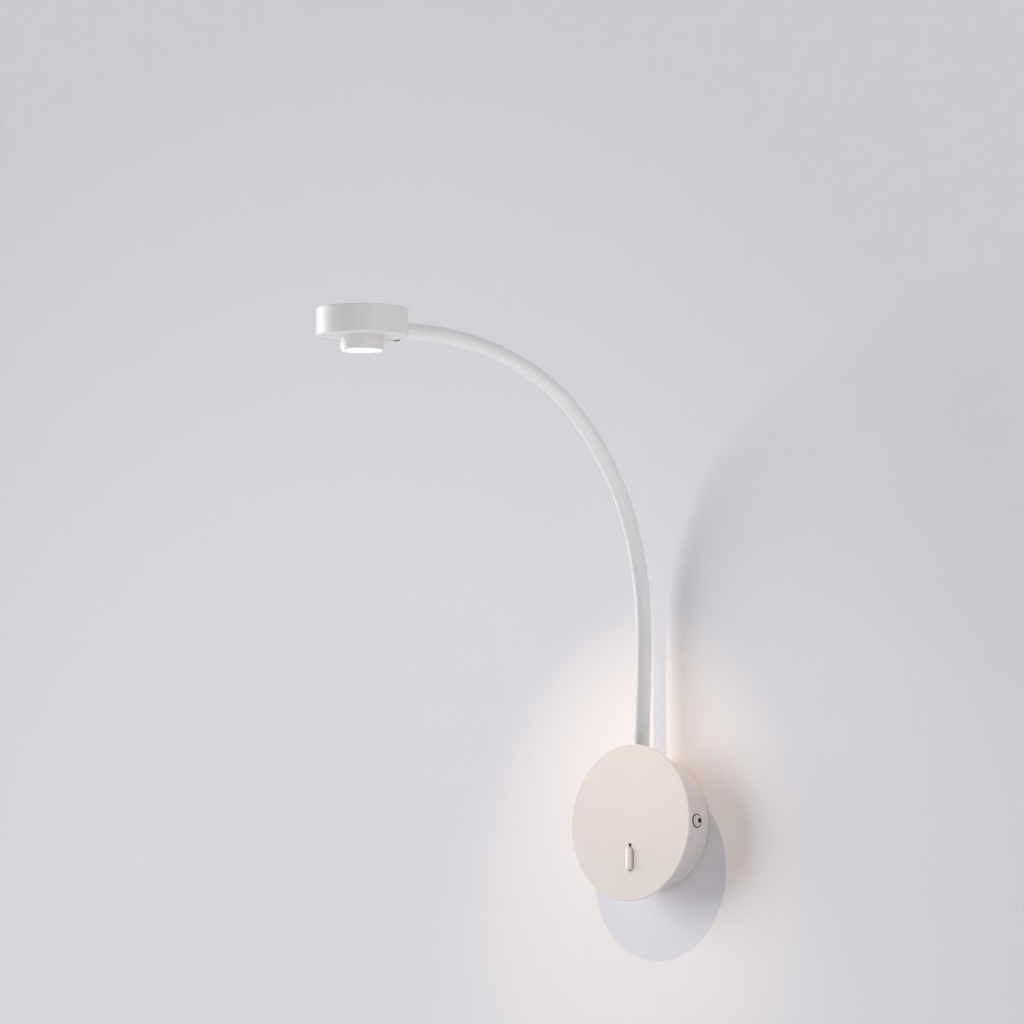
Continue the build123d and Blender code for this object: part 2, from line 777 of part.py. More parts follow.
def make_heat_sink():
    sink = disc_z(sink_r, sink_z, sink_top)
    sink += disc_z(neck_r + collar_wall, base_plate_top, sink_z)
    sink -= disc_z(neck_r, base_plate_top, sink_z)
    fin_end = sink_boss_r - sink_boss_d / 2 - free_gap
    for n in range(fin_count):
        fin = block(fin_start, fin_end, -fin_t / 2, fin_t / 2, sink_top, sink_top + fin_height)
        sink += Rot(0, 0, 360 * n / fin_count) * fin
    for x, y in sink_boss_places():
        sink -= disc_z(small_screw_d / 2 + screw_gap, sink_z, sink_top, x, y)
    return at_arm_end(in_head(sink))


def make_sink_screws():
    reach = sink_t + (head_ceiling - sink_top) / 2
    down = Rot(180, 0, 0) * small_screw(reach)
    screws = [at_arm_end(in_head(Pos(x, y, sink_z) * down)) for x, y in sink_boss_places()]
    return Compound(children=[screw.solid() for screw in screws])


def make_light_board():
    board = disc_z(neck_r - neck_wall, light_board_z, sink_z)
    return at_arm_end(in_head(board))


def make_light_chip():
    chip = disc_z(light_chip_d / 2, light_chip_z, light_board_z)
    return at_arm_end(in_head(chip))


def make_lens_holder():
    bottom = base_plate_z - holder_h
    neck_top = base_plate_z + neck_length
    bowl_r = holder_d / 2 - holder_rim
    throat_r = neck_r - neck_wall
    section = [
        (bowl_r, bottom),
        (holder_d / 2 - holder_edge, bottom),
        (holder_d / 2, bottom + holder_edge),
        (holder_d / 2, base_plate_z),
        (neck_r - slide_gap, base_plate_z),
        (neck_r - slide_gap, neck_top),
        (throat_r, neck_top),
        (throat_r, base_plate_z),
        (lens_base_d / 2 + slide_gap, lens_shoulder_z),
        (bowl_r, lens_shoulder_z),
    ]
    return at_arm_end(in_head(turned_z(section)))


def make_lens():
    rim_r = holder_d / 2 - holder_rim - slide_gap
    top = light_chip_z - lens_gap
    section = [
        (0, lens_face_z),
        (rim_r, lens_face_z),
        (rim_r, lens_shoulder_z),
        (lens_base_d / 2, lens_shoulder_z),
        (lens_top_d / 2, top),
        (0, top),
    ]
    return at_arm_end(in_head(turned_z(section)))


# ---------------------------------------------------------------- the lamp
pieces = {
    "wall_plate": make_wall_plate(),
    "halo_ring": make_halo_ring(),
    "halo_board": make_halo_board(),
    "halo_leds": make_halo_leds(),
    "halo_screws": make_halo_screws(),
    "cable_grommet": make_cable_grommet(),
    "base_cover": make_base_cover(),
    "side_screws": make_side_screws(),
    "driver_case": make_driver_case(),
    "driver_screws": make_driver_screws(),
    "terminal_block": make_terminal_block(),
    "terminal_screws": make_terminal_screws(),
    "earth_lug": make_earth_lug(),
    "earth_screw": make_earth_screw(),
    "rocker": make_rocker(),
    "switch_housing": make_switch_housing(),
    "switch_tabs": make_switch_tabs(),
    "switch_dot": make_switch_dot(),
    "arm_nipple": make_arm_nipple(),
    "arm_washer": make_arm_washer(),
    "arm_nut": make_arm_nut(),
    "head_ferrule": make_head_ferrule(),
    "head_shell": make_head_shell(),
    "head_base_plate": make_head_base_plate(),
    "clamp_screw": make_clamp_screw(),
    "heat_sink": make_heat_sink(),
    "sink_screws": make_sink_screws(),
    "light_board": make_light_board(),
    "light_chip": make_light_chip(),
    "lens_holder": make_lens_holder(),
    "lens": make_lens(),
}
for index in range(len(arm_lengths)):
    pieces[f"arm_sleeve_{index}"] = make_arm_sleeve(index)
    pieces[f"arm_hose_{index}"] = make_arm_hose(index)
    pieces[f"arm_lead_{index}"] = make_arm_lead(index)

os.makedirs("parts", exist_ok=True)
for name, shape in pieces.items():
    export_step(shape, f"parts/{name}.step")

for y, z, lean in link_starts[1:]:
    print(f"arm length ends at y {y:.4f} z {z:.4f} lean {degrees(lean):.3f}")
print(f"rocker pivot at y {pivot_y:.4f} z {-switch_drop:.4f}")
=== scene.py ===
import json
from math import atan2, cos, hypot, pi, radians, sin, tan

import bmesh
import bpy
from bpy.props import FloatProperty, FloatVectorProperty, IntProperty, PointerProperty
from bpy.types import Operator, Panel, PropertyGroup
from mathutils import Matrix, Vector


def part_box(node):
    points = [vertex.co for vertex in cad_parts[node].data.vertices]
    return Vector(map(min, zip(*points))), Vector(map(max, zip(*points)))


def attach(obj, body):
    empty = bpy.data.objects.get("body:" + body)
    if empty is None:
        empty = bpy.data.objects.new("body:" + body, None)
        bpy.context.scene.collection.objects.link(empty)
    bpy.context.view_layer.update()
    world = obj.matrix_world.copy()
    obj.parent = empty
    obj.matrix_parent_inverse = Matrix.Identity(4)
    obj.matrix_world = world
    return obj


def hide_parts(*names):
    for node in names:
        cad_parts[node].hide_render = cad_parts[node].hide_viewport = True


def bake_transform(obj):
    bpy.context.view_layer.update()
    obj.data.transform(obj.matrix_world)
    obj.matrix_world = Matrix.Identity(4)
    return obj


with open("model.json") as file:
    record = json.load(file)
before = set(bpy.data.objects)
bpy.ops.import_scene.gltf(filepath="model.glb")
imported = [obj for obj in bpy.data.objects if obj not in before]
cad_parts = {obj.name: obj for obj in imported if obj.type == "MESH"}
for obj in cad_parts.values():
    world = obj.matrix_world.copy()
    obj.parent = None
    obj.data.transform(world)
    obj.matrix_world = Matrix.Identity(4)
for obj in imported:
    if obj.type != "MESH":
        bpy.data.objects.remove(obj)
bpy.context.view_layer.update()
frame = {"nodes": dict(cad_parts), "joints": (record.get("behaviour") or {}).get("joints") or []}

bl_info = {
    "name": "Wall Reading Lamp",
    "version": (1, 0, 0),
    "blender": (4, 5, 0),
    "location": "3D View > Sidebar > Reading Lamp",
    "description": "Dresses the wall reading lamp: painted cover and head, sleeved gooseneck, switch, halo and lens",
    "category": "Object",
}

MM = 0.001
SKIN_GAP = 0.02 * MM  # keeps a small piece off the surface that carries it

# switch
ROCKER_BACK = 0.6 * MM  # from the pivot to the rocker's back
ROCKER_BACK_BEVEL = 0.15 * MM
ROCKER_SIDES = 20  # of each round end
ROCKER_RIM_STEPS = 8
ROCKER_CROWN_STEPS = 5
TRUNNION_RADIUS = 0.8 * MM
TRUNNION_ROOT = 0.4 * MM  # how far a trunnion reaches into the rocker
MARK_STEPS = 6

# side screws
SOCKET_RADIUS = 2.1 * MM  # of the painted shade inside a socket
# near black painted shade in the side screws' sockets
SOCKET_SHADE_BLACK = (0.03, 0.03, 0.032, 1)
RING_SIDES = 64

# halo
HALO_DIODES = 24  # round the whole ring

# plain materials
HOSE_STEEL = (0.60, 0.60, 0.61)
LEAD_WHITE = (0.80, 0.80, 0.79)
# near black of the rings round the side screws' heads: painted shade of their recesses
SCREW_SHADE_RING_BLACK = (0.05, 0.05, 0.048)
# near black of the grub screw: painted shade under the ferrule
GRUB_SHADE_BLACK = (0.05, 0.05, 0.055)
OPAL_WHITE = (0.80, 0.76, 0.70)
LENS_CLEAR = (0.93, 0.93, 0.92)
PHOSPHOR_YELLOW = (0.85, 0.68, 0.25)
ZINC = (0.62, 0.63, 0.65)
STEEL = (0.66, 0.66, 0.68)
BRASS = (0.80, 0.60, 0.28)
ALUMINIUM = (0.76, 0.77, 0.78)
BOARD_WHITE = (0.84, 0.85, 0.83)
DRIVER_GREY = (0.72, 0.72, 0.70)
TERMINAL_CREAM = (0.78, 0.77, 0.73)
GROMMET_BLACK = (0.035, 0.034, 0.033)

# stage
STAGE_NAMES = ("wall", "floor")
STAGE_SIDES = 96
WALL_OFFSET = 0.5 * MM  # wall behind the lamp's back
WALL_OVERLAP = 1.5 * MM  # how far the wall reaches in behind the halo ring
WALL_REACH = 6.0
# painted pool of light on the wall: its centre and reach
PAINTED_WALL_LIGHT_CENTRE = (-0.35, 0, -0.1)
PAINTED_WALL_LIGHT_REACH = 1.1
FLOOR_HEIGHT = -1.9
FLOOR_REACH = 14.0
# reach of the painted pool of light on the floor
PAINTED_FLOOR_LIGHT_REACH = 6.0
SEEN_BACKGROUND = (0.72, 0.715, 0.74, 1)
KEY_TRAVEL, KEY_TINT = (1.7, 1, -0.5), (0.95, 0.97, 1.0)
RIM_TRAVEL, RIM_SOFTNESS = (0.985, 0.15, -0.1), radians(48)
SIDE_TRAVEL, SIDE_SOFTNESS, SIDE_TINT = (-0.98, -0.05, -0.2), radians(60), (1.0, 0.96, 0.90)
BASE_TRAVEL, BASE_SOFTNESS, BASE_TINT = (0.3, 1, 0.2), radians(50), (0.98, 0.98, 1.0)
LOW_TRAVEL, LOW_SOFTNESS = (-0.2, 0.3, 1), radians(70)
WHITE_TINT = (1.0, 1.0, 1.0)
BEAM_AIM = (-0.02, 0, -0.03)
BEAM_ANGLE = radians(46)
BEAM_RADIUS = 0.002
BEAM_DROP = 6 * MM  # from the lens down to the beam's source
CAMERA_TARGET = (-0.0005, -0.1688, 0.2279)


# ---------------------------------------------------------------- settings
def colour(name, description, value):
    """A colour setting."""
    return FloatVectorProperty(
        name=name, description=description, subtype="COLOR", size=3, min=0.0, max=1.0, default=value
    )


def length(name, description, millimetres):
    """A length setting, given in millimetres."""
    return FloatProperty(
        name=name, description=description, subtype="DISTANCE", unit="LENGTH", min=0.0, default=millimetres * MM
    )


def level(name, description, value):
    """A plain number setting that isn't negative."""
    return FloatProperty(name=name, description=description, min=0.0, default=value)


class LampSizes(PropertyGroup):
    """Sizes of the pieces that are made here."""

    ring_step: length("Arm ring step", "Spacing of the rings along the gooseneck", 2.0)
    ring_sides: IntProperty(
        name="Arm ring sides", description="Sides of each ring of the sleeve", min=12, default=48
    )
    bend_reach: length("Bend reach", "How far a bend of the arm spreads to each side of its hinge", 26.5)
    sleeve_wall: length("Sleeve wall", "Wall of the silicone sleeve", 1.2)
    hose_gap: length("Hose gap", "Radial gap between sleeve and hose", 0.1)
    hose_wall: length("Hose wall", "Wall of the strip-wound hose", 1.8)
    hose_pitch: length("Hose pitch", "Pitch of the hose's winding", 4.0)
    hose_groove: length("Hose groove", "Depth of the groove between two turns of the hose", 0.3)
    lead_diameter: length("Lead diameter", "Outside of the lead in the arm", 4.2)
    rocker_width: length("Rocker width", "Width of the rocker's front", 5.2)
    rocker_rim: length("Rocker rim", "Radius round the rocker's front", 0.9)
    # the dark ring round a side screw's head is painted shade, the shadow of its recess
    shade_ring_width: length("Screw ring width", "Width of the rubber ring round a side screw's head", 0.7)
    shade_ring_rise: length("Screw ring rise", "How far the rubber ring stands off the drum", 0.4)
    mark_diameter: length("Switch mark diameter", "Outside of the dark mark above the rocker", 2.9)
    grub_diameter: length("Grub screw diameter", "Outside of the grub screw under the ferrule", 5.6)
    grub_rise: length("Grub screw rise", "How far the grub screw stands off the ferrule", 1.5)
    grub_place: length("Grub screw place", "From the head's rim to the grub screw's axis", 2.9)
    rocker_crown: length("Rocker crown", "Rise of the rocker's front to its middle line", 0.35)


class LampColours(PropertyGroup):
    """Colours and glow of the finishes."""

    cover: colour("Cover paint", "Powder coat of the base cover", (0.79, 0.745, 0.735))
    head: colour("Head paint", "Powder coat of the head, its ferrule and the lens holder", (0.775, 0.76, 0.745))
    screw: colour("Screw paint", "Paint over the screw heads", (0.78, 0.74, 0.71))
    sleeve: colour("Sleeve", "Silicone of the gooseneck's sleeve", (0.80, 0.795, 0.79))
    rocker: colour("Rocker", "Plastic of the switch's rocker", (0.78, 0.75, 0.71))
    switch_body: colour("Switch body", "Plastic of the switch behind the cover", (0.70, 0.69, 0.67))
    mark: colour("Switch mark", "The small dark mark above the rocker", (0.012, 0.011, 0.010))
    warm_light: colour("Warm light", "Colour of the halo and of the reading light", (1.0, 0.70, 0.42))
    lens_light: colour("Lens light", "Colour of the light in the lens", (1.0, 0.99, 0.94))
    halo_glow: level("Halo glow", "Strength of the light that leaves the halo ring", 0.05)
    lens_glow: level("Lens glow", "Strength of the light that leaves the lens", 0.95)


class LampStage(PropertyGroup):
    """Wall, floor, lights and camera."""

    wall: colour("Wall", "Paint of the wall", (0.84, 0.825, 0.85))
    floor: colour("Floor", "Colour of the floor", (0.80, 0.79, 0.80))
    daylight: colour("Daylight", "Colour of the light all round", (0.985, 0.98, 1.0))
    daylight_level: level("Daylight level", "Strength of the light all round", 0.61)
    daylight_slope: FloatVectorProperty(
        name="Daylight slope", description="How the daylight grows to the right, to the wall and upwards",
        subtype="DIRECTION", size=3, default=(0.12, 0.25, -0.15)
    )
    key_level: level("Key level", "Strength of the soft light on the wall from the left", 2.15)
    key_softness: FloatProperty(
        name="Key softness", description="Angle that the soft light covers", subtype="ANGLE", default=radians(45)
    )
    rim_level: level("Rim level", "Strength of the light along the wall, which draws the left rims", 3.0)
    side_level: level("Side level", "Strength of the soft warm light from the right", 0.68)
    base_level: level("Base level", "Strength of the soft light on the base from ahead", 0.80)
    low_level: level("Low level", "Strength of the soft light from below", 1.0)
    beam_level: level("Beam level", "Power of the lamp's own light on the wall, in watts", 2.5)
    camera_distance: FloatProperty(
        name="Camera distance", description="From the camera to the lamp", subtype="DISTANCE", unit="LENGTH",
        default=8.0
    )
    camera_lens: FloatProperty(name="Lens", description="Focal length in millimetres", default=371.6)
    camera_turn: FloatProperty(
        name="Camera turn", description="Turn of the camera round the lamp", subtype="ANGLE", default=radians(41.92)
    )
    camera_rise: FloatProperty(
        name="Camera rise", description="Height of the view above level", subtype="ANGLE", default=radians(-6.12)
    )


# ---------------------------------------------------------------- finishes
def new_finish(name):
    """A material with an empty shader and the object's own coordinates."""
    finish = bpy.data.materials.new(name)
    finish.use_nodes = True
    nodes = finish.node_tree.nodes
    links = finish.node_tree.links
    shader = nodes["Principled BSDF"]
    place = nodes.new("ShaderNodeTexCoord")
    return finish, nodes, links, shader, place.outputs["Object"]


def noise(nodes, links, place, scale, detail=3.0, stretch=None):
    """Cloudy noise at a number of features per metre, stretched along an axis where given."""
    texture = nodes.new("ShaderNodeTexNoise")
    texture.inputs["Scale"].default_value = scale
    texture.inputs["Detail"].default_value = detail
    if stretch:
        mapping = nodes.new("ShaderNodeMapping")
        mapping.inputs["Scale"].default_value = stretch
        links.new(place, mapping.inputs["Vector"])
        place = mapping.outputs["Vector"]
    links.new(place, texture.inputs["Vector"])
    return texture.outputs["Fac"]


def cells(nodes, links, place, scale):
    """Cell pattern, as distance from each cell's middle."""
    texture = nodes.new("ShaderNodeTexVoronoi")
    texture.inputs["Scale"].default_value = scale
    links.new(place, texture.inputs["Vector"])
    return texture.outputs["Distance"]


def tones(nodes, links, driver, base, spread, socket):
    """Colour that wanders a little round its base."""
    ramp = nodes.new("ShaderNodeValToRGB")
    low, high = ramp.color_ramp.elements
    low.position, high.position = 0.3, 0.7
    low.color = (*[max(0.0, part * (1 - spread)) for part in base], 1)
    high.color = (*[min(1.0, part * (1 + spread)) for part in base], 1)
    links.new(driver, ramp.inputs["Fac"])
    links.new(ramp.outputs["Color"], socket)


def ranged(nodes, links, driver, low, high, socket):
    """Number that follows a pattern between two ends."""
    span = nodes.new("ShaderNodeMapRange")
    span.inputs["To Min"].default_value = low
    span.inputs["To Max"].default_value = high
    links.new(driver, span.inputs["Value"])
    links.new(span.outputs["Result"], socket)


def relief(nodes, links, height, depth, shader, under=None):
    """Surface relief of a real depth in metres, over another relief where given."""
    bump = nodes.new("ShaderNodeBump")
    bump.inputs["Strength"].default_value = 1.0
    bump.inputs["Distance"].default_value = depth
    links.new(height, bump.inputs["Height"])
    if under:
        links.new(under.outputs["Normal"], bump.inputs["Normal"])
    links.new(bump.outputs["Normal"], shader.inputs["Normal"])
    return bump


def powder_coat(name, base, gloss=0.42, coat=0.0):
    """Powder coat: soft orange peel, fine grit, slight clouding and uneven sheen."""
    finish, nodes, links, shader, place = new_finish(name)
    shader.inputs["Coat Weight"].default_value = coat
    shader.inputs["Coat Roughness"].default_value = 0.3
    tones(nodes, links, noise(nodes, links, place, 22), base, 0.012, shader.inputs["Base Color"])
    ranged(nodes, links, noise(nodes, links, place, 160), gloss - 0.04, gloss + 0.06, shader.inputs["Roughness"])
    peel = relief(nodes, links, noise(nodes, links, place, 620, 2.0), 0.000018, shader)
    relief(nodes, links, noise(nodes, links, place, 3600, 1.0), 0.000006, shader, under=peel)
    return finish


def paint_with_socket_shade(name, base, gloss):
    """Powder coat of the side screws, with painted shade: the inside of each socket is painted near black."""
    finish = powder_coat(name, base, gloss)
    nodes, links = finish.node_tree.nodes, finish.node_tree.links
    shader = nodes["Principled BSDF"]
    low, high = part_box("side_screws")
    place = nodes.new("ShaderNodeTexCoord")
    axis = nodes.new("ShaderNodeMapping")
    axis.vector_type = "TEXTURE"
    axis.inputs["Location"].default_value = (0, (low.y + high.y) / 2, (low.z + high.z) / 2)
    axis.inputs["Scale"].default_value = (1000.0, SOCKET_RADIUS, SOCKET_RADIUS)
    near = nodes.new("ShaderNodeTexGradient")
    near.gradient_type = "SPHERICAL"
    edge = nodes.new("ShaderNodeMapRange")
    edge.inputs["From Min"].default_value = 0.02
    edge.inputs["From Max"].default_value = 0.12
    # painted shade: the coat is mixed to near black round the socket's axis
    mix = nodes.new("ShaderNodeMix")
    mix.data_type = "RGBA"
    mix.inputs["B"].default_value = SOCKET_SHADE_BLACK
    paint = shader.inputs["Base Color"].links[0].from_socket
    links.new(place.outputs["Object"], axis.inputs["Vector"])
    links.new(axis.outputs["Vector"], near.inputs["Vector"])
    links.new(near.outputs["Fac"], edge.inputs["Value"])
    links.new(edge.outputs["Result"], mix.inputs["Factor"])
    links.new(paint, mix.inputs["A"])
    links.new(mix.outputs["Result"], shader.inputs["Base Color"])
    return finish


def silicone(name, base):
    """Soft matt silicone: light goes a little way in, with fine dust and faint waves."""
    finish, nodes, links, shader, place = new_finish(name)
    shader.inputs["Subsurface Weight"].default_value = 0.12
    shader.inputs["Subsurface Radius"].default_value = (1.0, 0.9, 0.8)
    shader.inputs["Subsurface Scale"].default_value = 0.0015
    shader.inputs["Sheen Weight"].default_value = 0.08
    shader.inputs["Sheen Roughness"].default_value = 0.5
    tones(nodes, links, noise(nodes, links, place, 30), base, 0.015, shader.inputs["Base Color"])
    ranged(nodes, links, noise(nodes, links, place, 240), 0.48, 0.60, shader.inputs["Roughness"])
    waves = relief(nodes, links, noise(nodes, links, place, 700, 1.0), 0.000008, shader)
    relief(nodes, links, noise(nodes, links, place, 4200, 1.0), 0.000004, shader, under=waves)
    return finish


def moulded(name, base, gloss=0.38, grain=0.00001):
    """Moulded plastic with a fine spark-eroded grain."""
    finish, nodes, links, shader, place = new_finish(name)
    tones(nodes, links, noise(nodes, links, place, 60), base, 0.02, shader.inputs["Base Color"])
    ranged(nodes, links, noise(nodes, links, place, 500), gloss - 0.05, gloss + 0.07, shader.inputs["Roughness"])
    grit = relief(nodes, links, cells(nodes, links, place, 2600), grain, shader)
    relief(nodes, links, noise(nodes, links, place, 5200, 1.0), grain / 2, shader, under=grit)
    return finish


def rubber(name, base):
    """Dull rubber with small pits."""
    finish, nodes, links, shader, place = new_finish(name)
    shader.inputs["Specular IOR Level"].default_value = 0.35
    tones(nodes, links, noise(nodes, links, place, 130), base, 0.18, shader.inputs["Base Color"])
    ranged(nodes, links, noise(nodes, links, place, 700), 0.68, 0.86, shader.inputs["Roughness"])
    relief(nodes, links, cells(nodes, links, place, 1700), 0.00003, shader)
    return finish


def metal(name, base, gloss, spread, stretch=None, spangle=0.0):
    """Bare or plated metal: rolled or turned lines, or the spangle of zinc."""
    finish, nodes, links, shader, place = new_finish(name)
    shader.inputs["Metallic"].default_value = 1.0
    pattern = cells(nodes, links, place, spangle) if spangle else noise(nodes, links, place, 90)
    tones(nodes, links, pattern, base, spread, shader.inputs["Base Color"])
    lines = noise(nodes, links, place, 1500, 4.0, stretch)
    ranged(nodes, links, lines, gloss - 0.06, gloss + 0.12, shader.inputs["Roughness"])
    relief(nodes, links, lines, 0.000006, shader)
    return finish


def laminate(name, base):
    """White circuit board: solder mask over a faint glass weave."""
    finish, nodes, links, shader, place = new_finish(name)
    shader.inputs["Coat Weight"].default_value = 0.4
    shader.inputs["Coat Roughness"].default_value = 0.2
    tones(nodes, links, noise(nodes, links, place, 45), base, 0.02, shader.inputs["Base Color"])
    weave = nodes.new("ShaderNodeTexWave")
    weave.inputs["Scale"].default_value = 420
    weave.inputs["Distortion"].default_value = 0.4
    links.new(place, weave.inputs["Vector"])
    ranged(nodes, links, weave.outputs["Fac"], 0.35, 0.42, shader.inputs["Roughness"])
    relief(nodes, links, weave.outputs["Fac"], 0.000008, shader)
    return finish


def lit_phosphor(name, base, glow, strength):
    """Lit phosphor of a light-emitting diode, with its grain."""
    finish, nodes, links, shader, place = new_finish(name)
    shader.inputs["Roughness"].default_value = 0.5
    shader.inputs["Emission Strength"].default_value = strength
    grain = noise(nodes, links, place, 2800)
    tones(nodes, links, grain, base, 0.06, shader.inputs["Base Color"])
    tones(nodes, links, grain, glow, 0.04, shader.inputs["Emission Color"])
    relief(nodes, links, grain, 0.00002, shader)
    return finish


def opal(name, base, glow, strength):
    """Opal acrylic with light behind it, a little brighter in front of each diode."""
    finish, nodes, links, shader, place = new_finish(name)
    shader.inputs["Subsurface Weight"].default_value = 0.3
    shader.inputs["Subsurface Scale"].default_value = 0.002
    shader.inputs["Emission Strength"].default_value = strength
    turn = nodes.new("ShaderNodeMapping")
    turn.inputs["Rotation"].default_value = (pi / 2, 0, 0)
    links.new(place, turn.inputs["Vector"])
    round_angle = nodes.new("ShaderNodeTexGradient")
    round_angle.gradient_type = "RADIAL"
    links.new(turn.outputs["Vector"], round_angle.inputs["Vector"])
    spots = nodes.new("ShaderNodeMath")
    spots.operation = "PINGPONG"
    spots.inputs[1].default_value = 0.5 / HALO_DIODES
    links.new(round_angle.outputs["Fac"], spots.inputs[0])
    spot_level = nodes.new("ShaderNodeMapRange")
    spot_level.inputs["From Max"].default_value = 0.5 / HALO_DIODES
    links.new(spots.outputs["Value"], spot_level.inputs["Value"])
    tones(nodes, links, spot_level.outputs["Result"], glow, 0.05, shader.inputs["Emission Color"])
    tones(nodes, links, noise(nodes, links, place, 50), base, 0.01, shader.inputs["Base Color"])
    ranged(nodes, links, noise(nodes, links, place, 400), 0.28, 0.40, shader.inputs["Roughness"])
    relief(nodes, links, noise(nodes, links, place, 1500, 1.0), 0.000008, shader)
    return finish


def lit_lens(name, base, glow, strength):
    """Clear moulded lens, lit all over, with the small facets that spread its light."""
    finish, nodes, links, shader, place = new_finish(name)
    shader.inputs["Roughness"].default_value = 0.16
    shader.inputs["Coat Weight"].default_value = 0.5
    shader.inputs["Coat Roughness"].default_value = 0.08
    shader.inputs["Emission Strength"].default_value = strength
    facets = cells(nodes, links, place, 520)
    tones(nodes, links, facets, base, 0.01, shader.inputs["Base Color"])
    tones(nodes, links, facets, glow, 0.03, shader.inputs["Emission Color"])
    relief(nodes, links, facets, 0.00008, shader)
    return finish


# ---------------------------------------------------------------- forms
def finished_piece(name, form, finish, nodes):
    """Object from a closed form, smooth but for its real edges, that stands for some nodes of the frame."""
    bmesh.ops.recalc_face_normals(form, faces=form.faces)
    mesh = bpy.data.meshes.new(name)
    form.to_mesh(mesh)
    form.free()
    mesh.materials.append(finish)
    piece = bpy.data.objects.new(name, mesh)
    bpy.context.scene.collection.objects.link(piece)
    mesh.shade_smooth()
    mesh.set_sharp_from_angle(angle=radians(32))
    if nodes:
        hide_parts(*nodes)
    return piece


def joined_rings(form, rings, closed):
    """Skin of quads over rings of points; a closed one meets itself, an open one gets flat ends."""
    loops = [[form.verts.new(point) for point in ring] for ring in rings]
    count = len(loops[0])
    pairs = list(zip(loops, loops[1:] + loops[:1])) if closed else list(zip(loops, loops[1:]))
    for lower, upper in pairs:
        for n in range(count):
            after = (n + 1) % count
            form.faces.new((lower[n], lower[after], upper[after], upper[n]))
    if not closed:
        form.faces.new(reversed(loops[0]))
        form.faces.new(loops[-1])


def turned(form, profile, place, sides=48):
    """Closed turned form, from (radius, height) points that run from its back to its front."""
    rings = []
    for radius, height in profile:
        rings.append([
            place @ Vector((radius * cos(2 * pi * n / sides), radius * sin(2 * pi * n / sides), height))
            for n in range(sides)
        ])
    joined_rings(form, rings, closed=False)


def pill_ring(half_length, half_width, depth, sides):
    """Ring of points round an upright slot, at a depth from the wall."""
    straight = half_length - half_width
    points = []
    for end in (1, -1):
        for n in range(sides + 1):
            angle = pi * n / sides
            x = half_width * cos(angle) * end
            z = (straight + half_width * sin(angle)) * end
            points.append(Vector((x, depth, z)))
    return points


# ---------------------------------------------------------------- gooseneck
class ArmLine:
    """Middle line of the arm: one arc from each hinge to the next, each leaving where the last one came in."""

    def __init__(self):
        hinges = [joint for joint in frame["joints"] if joint["child"].startswith("link_")]
        hinges.sort(key=lambda joint: int(joint["child"].split("_")[1]))
        ferrule_low, ferrule_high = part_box("head_ferrule")
        nut_low, nut_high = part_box("arm_nut")
        root = (0.0, (nut_low.y + nut_high.y) / 2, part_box("arm_hose_0")[0].z)
        tip = (0.0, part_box("head_shell")[1].y, (ferrule_low.z + ferrule_high.z) / 2)
        stops = [root] + [tuple(joint["pos_m"]) for joint in hinges] + [tip]
        self.arcs = []
        self.hinges = []
        lean, station = 0.0, 0.0
        for here, there in zip(stops, stops[1:]):
            run_y, run_z = there[1] - here[1], there[2] - here[2]
            half = atan2(-run_y, run_z) - lean
            arc = hypot(run_y, run_z) * (half / sin(half) if abs(half) > 1e-6 else 1.0)
            self.arcs.append((station, here[1], here[2], lean, 2 * half / arc, arc))
            lean += 2 * half
            station += arc
            self.hinges.append(station)
        self.length = self.hinges.pop()

    def at(self, station):
        """The (y, z, lean) at a way along the arm; before its start and past its end the line is straight."""
        arc = [a for a in self.arcs if a[0] <= max(station, 0.0)][-1]
        start, y, z, lean, curve, reach = arc
        run = min(max(station - start, 0.0), reach)
        turn = curve * run
        chord = run if abs(turn) < 1e-9 else 2 * sin(turn / 2) / curve
        y -= chord * sin(lean + turn / 2)
        z += chord * cos(lean + turn / 2)
        rest = station - start - run
        return y - rest * sin(lean + turn), z + rest * cos(lean + turn), lean + turn

    def point(self, station):
        """Point of the middle line."""
        y, z, _ = self.at(station)
        return Vector((0, y, z))

    def ring(self, station, radius, sides):
        """Ring of points square to the middle line."""
        y, z, lean = self.at(station)
        points = []
        for n in range(sides):
            angle = 2 * pi * n / sides
            out = radius * sin(angle)
            points.append(Vector((radius * cos(angle), y + out * cos(lean), z + out * sin(lean))))
        return points


def saddle(ring, drum_radius):
    """Ring let down onto the round side of the base's drum."""
    return [Vector((point.x, point.y, (drum_radius**2 - point.x**2) ** 0.5)) for point in ring]


def arm_tube(name, line, index, radii, sides, finish, kind, start=0.0, end=None, drum_radius=0.0):
    """Stretch of a tube of the arm round one hinge, from the middle of one length to the middle of the next.

    radii(station) gives the outer and the inner radius; an inner radius of 0 makes a solid rod.
    """
    sizes = bpy.context.scene.lamp_sizes
    hinge = line.hinges[index]
    first, last = index == 0, index == len(line.hinges) - 1
    low = start if first else (line.hinges[index - 1] + hinge) / 2
    high = end if last else (hinge + line.hinges[index + 1]) / 2
    count = max(2, round((high - low) / sizes.ring_step))
    stations = [low + (high - low) * n / count for n in range(count + 1)]
    outside = [line.ring(station, radii(station)[0], sides) for station in stations]
    inside = [line.ring(station, radii(station)[1], sides) for station in stations]
    if drum_radius and first:
        outside[0] = saddle(outside[0], drum_radius)
        inside[0] = saddle(inside[0], drum_radius)
    form = bmesh.new()
    if radii(low)[1] > 0:
        joined_rings(form, outside + inside[::-1], closed=True)
    else:
        joined_rings(form, outside, closed=False)
    nodes = [f"arm_{kind}_{index}", f"arm_{kind}_{index + 1}"]
    tube = finished_piece(name, form, finish, nodes)
    lengths = ["root" if first else f"link_{index}", f"link_{index + 1}"]
    ends = [line.point(hinge - sizes.bend_reach), line.point(hinge + sizes.bend_reach)]
    if index % 2:
        lengths.reverse()
        ends.reverse()
    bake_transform(tube)
    return tube


